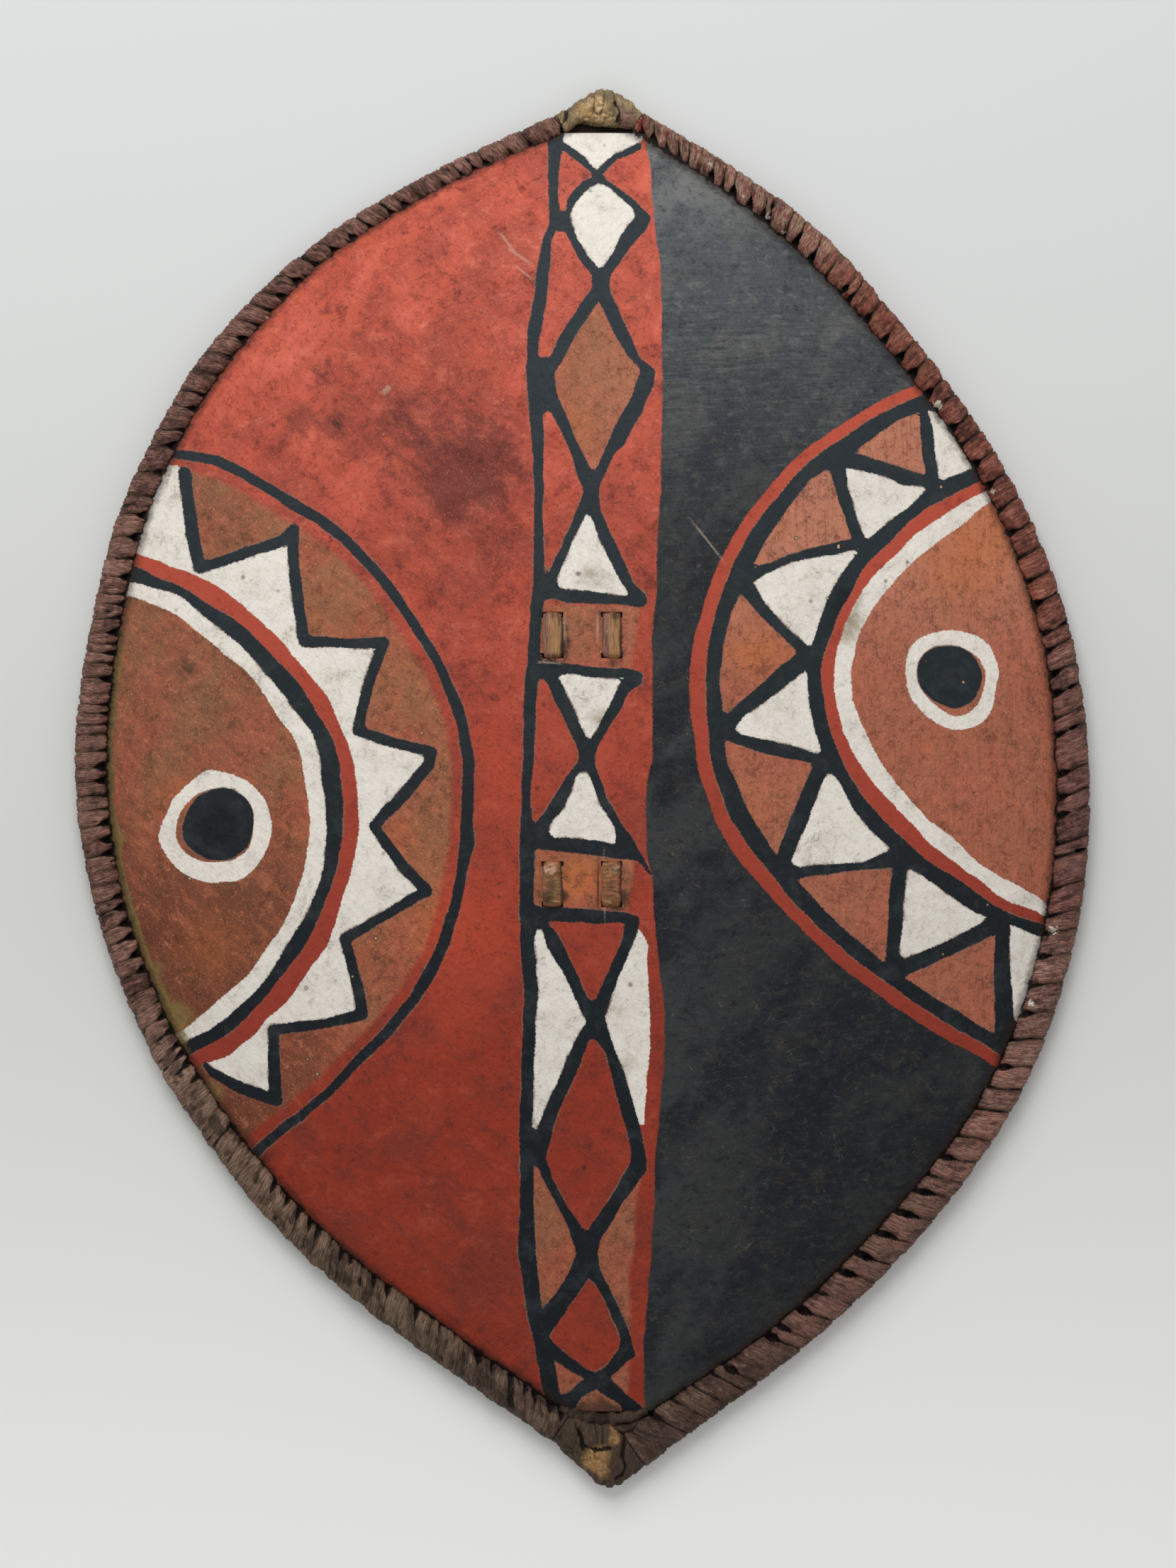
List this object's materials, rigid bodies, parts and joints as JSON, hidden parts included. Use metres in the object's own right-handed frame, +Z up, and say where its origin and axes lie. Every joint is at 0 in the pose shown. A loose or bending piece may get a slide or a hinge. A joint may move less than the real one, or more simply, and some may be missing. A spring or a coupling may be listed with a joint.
{
  "type": "hide shield",
  "caption": "Pointed oval hide shield, domed and painted, with a wound hide rim, a tied knot at each tip and a wooden grip thonged on behind.",
  "frame": {"origin": "middle of the bound rim's footprint, on the surface that the shield lies on", "axes": "+Z up out of the painted face, +Y to the shield's top tip, +X to the right as the painted face is seen"},
  "size_m": [0.6531, 0.8999, 0.0887],
  "materials": {
    "painted_hide": "matte earth paint in red, black, brown and white on rawhide",
    "hide_binding": "dry, wrinkled rawhide",
    "rawhide_knot": "dry, fibrous rawhide",
    "grip_wood": "hand-worn wood",
    "thong_leather": "dull, creased leather"
  },
  "bodies": {
    "root": {"hide_face": "painted_hide", "rim_binding_left": "hide_binding", "rim_binding_right": "hide_binding", "top_knot": "rawhide_knot", "bottom_knot": "rawhide_knot", "hand_grip": "grip_wood", "thong_upper_left": "thong_leather", "thong_upper_right": "thong_leather", "thong_lower_left": "thong_leather", "thong_lower_right": "thong_leather"}
  },
  "joints": []
}
